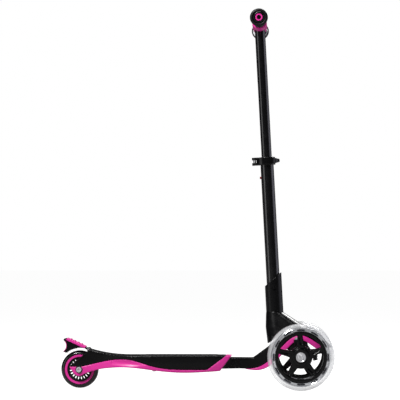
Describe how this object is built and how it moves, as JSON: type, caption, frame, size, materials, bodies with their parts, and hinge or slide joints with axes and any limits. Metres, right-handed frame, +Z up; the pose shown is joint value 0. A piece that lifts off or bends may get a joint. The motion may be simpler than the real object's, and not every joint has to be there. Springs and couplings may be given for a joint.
{
  "type": "kick scooter",
  "caption": "Child's kick scooter with a narrow deck, spoked front wheels on steering knuckles, sprung rear foot brake and a telescoping handlebar clamped by a lever.",
  "frame": {"origin": "on the floor, under the middle of the scooter's overall box", "axes": "+X forwards, +Z up, +Y sideways; the handlebar lies along Y"},
  "size_m": [0.58, 0.306, 0.7938],
  "materials": {
    "pink_shell": "glossy moulded plastic",
    "black_shell": "satin moulded plastic",
    "black_gloss": "glossy moulded plastic",
    "stem_paint": "gloss black coating on aluminium tube",
    "mat_rubber": "soft matt rubber",
    "clear_tyre": "clear polyurethane, slightly milky",
    "light_chrome": "bright plated ring",
    "chip_dark": "dark light windows",
    "rim_black": "glossy moulded plastic",
    "cap_silver": "satin plated plastic",
    "pu_black": "glossy black polyurethane",
    "core_black": "moulded nylon",
    "steel": "zinc-plated steel",
    "dark_steel": "blackened steel",
    "alu": "plain extruded aluminium",
    "button_red": "dark red plastic",
    "grip_rubber": "ribbed soft rubber",
    "disc_pale": "pale plastic",
    "nylon_white": "natural nylon"
  },
  "bodies": {
    "frame": {"deck_lower_shell": "pink_shell", "deck_top_shell": "black_shell", "deck_spine": "alu", "grip_mat": "mat_rubber", "deck_screws": "steel", "neck_shell": "black_shell", "arch_lining": "pink_shell", "head_shell": "black_shell", "head_bolts": "steel", "bridge_beam": "core_black", "steer_bushes": "mat_rubber", "brake_pin": "steel", "rear_axle": "steel", "rear_nut": "steel", "rear_washers": "dark_steel"},
    "rear_wheel": {"rear_tyre": "pu_black", "rear_core": "core_black", "rear_rings": "pink_shell", "rear_bearings": "dark_steel"},
    "brake": {"brake_plate": "pink_shell", "brake_web": "black_shell", "brake_pad": "steel"},
    "tie_link": {"tie_rod": "dark_steel"},
    "lower_stem": {"lower_tube": "stem_paint", "guide_bush": "black_shell", "clamp_collar": "black_gloss", "clamp_bolt": "dark_steel", "clamp_pin": "steel"},
    "lever": {"clamp_lever": "black_gloss"},
    "red_button": {"height_button": "button_red"},
    "socket_button": {"lock_button": "black_shell"},
    "upper_stem": {"upper_tube": "stem_paint", "stop_plug": "nylon_white", "cross_tube": "stem_paint", "tee_sleeve": "pink_shell", "grip_near": "grip_rubber", "grip_far": "grip_rubber", "grip_discs": "disc_pale", "end_caps": "black_gloss", "cap_inlays": "pink_shell"},
    "steering_near": {"knuckle_near": "dark_steel", "kingpin_near": "steel", "magnet_spacer_near": "dark_steel", "wheel_nut_near": "steel"},
    "wheel_near": {"front_tyre_near": "clear_tyre", "light_ring_near": "light_chrome", "light_chips_near": "chip_dark", "front_rim_near": "rim_black", "hub_cap_near": "cap_silver", "front_bearings_near": "dark_steel"},
    "steering_far": {"knuckle_far": "dark_steel", "kingpin_far": "steel", "magnet_spacer_far": "dark_steel", "wheel_nut_far": "steel"},
    "wheel_far": {"front_tyre_far": "clear_tyre", "light_ring_far": "light_chrome", "light_chips_far": "chip_dark", "front_rim_far": "rim_black", "hub_cap_far": "cap_silver", "front_bearings_far": "dark_steel"}
  },
  "joints": [
    {"name": "rear_spin", "type": "hinge", "parent": "frame", "child": "rear_wheel", "pos_m": [-0.25, 0, 0.04], "axis": [0, 1, 0], "continuous": true},
    {"name": "brake_press", "type": "hinge", "parent": "frame", "child": "brake", "pos_m": [-0.231, 0, 0.083], "axis": [0, -1, 0], "range_deg": [0, 5], "stiffness_Nm_per_rad": 1, "springref_deg": -17.19},
    {"name": "steer_near", "type": "hinge", "parent": "frame", "child": "steering_near", "pos_m": [0.22, -0.062, 0.07], "axis": [-0.1736, 0, 0.9848], "range_deg": [-15, 15], "stiffness_Nm_per_rad": 12},
    {"name": "steer_far", "type": "hinge", "parent": "frame", "child": "steering_far", "pos_m": [0.22, 0.062, 0.07], "axis": [-0.1736, 0, 0.9848], "range_deg": [-15, 15], "stiffness_Nm_per_rad": 12},
    {"name": "tie_slide", "type": "slide", "parent": "frame", "child": "tie_link", "axis": [0, 1, 0], "range_m": [-0.008, 0.008]},
    {"name": "spin_near", "type": "hinge", "parent": "steering_near", "child": "wheel_near", "pos_m": [0.22, -0.108, 0.07], "axis": [0, 1, 0], "continuous": true},
    {"name": "spin_far", "type": "hinge", "parent": "steering_far", "child": "wheel_far", "pos_m": [0.22, 0.108, 0.07], "axis": [0, 1, 0], "continuous": true},
    {"name": "stem_lift", "type": "slide", "parent": "frame", "child": "lower_stem", "axis": [-0.0519, 0, 0.9987], "range_m": [0, 0.07]},
    {"name": "clamp_open", "type": "hinge", "parent": "lower_stem", "child": "lever", "pos_m": [0.12265, -0.014, 0.48175], "axis": [0.0519, 0, -0.9987], "range_deg": [0, 105]},
    {"name": "red_press", "type": "slide", "parent": "lower_stem", "child": "red_button", "axis": [0.9987, 0, 0.0519], "range_m": [0, 0.002], "stiffness_N_per_m": 400, "springref_m": -0.002},
    {"name": "socket_press", "type": "slide", "parent": "frame", "child": "socket_button", "axis": [0, 1, 0], "range_m": [0, 0.0018], "stiffness_N_per_m": 400, "springref_m": -0.002},
    {"name": "bar_height", "type": "slide", "parent": "lower_stem", "child": "upper_stem", "axis": [-0.0519, 0, 0.9987], "range_m": [-0.2, 0]}
  ],
  "couplings": [
    {"joint": "steer_far", "follows": "steer_near", "ratio": 1},
    {"joint": "tie_slide", "follows": "steer_near", "m_per_rad": 0.029}
  ]
}
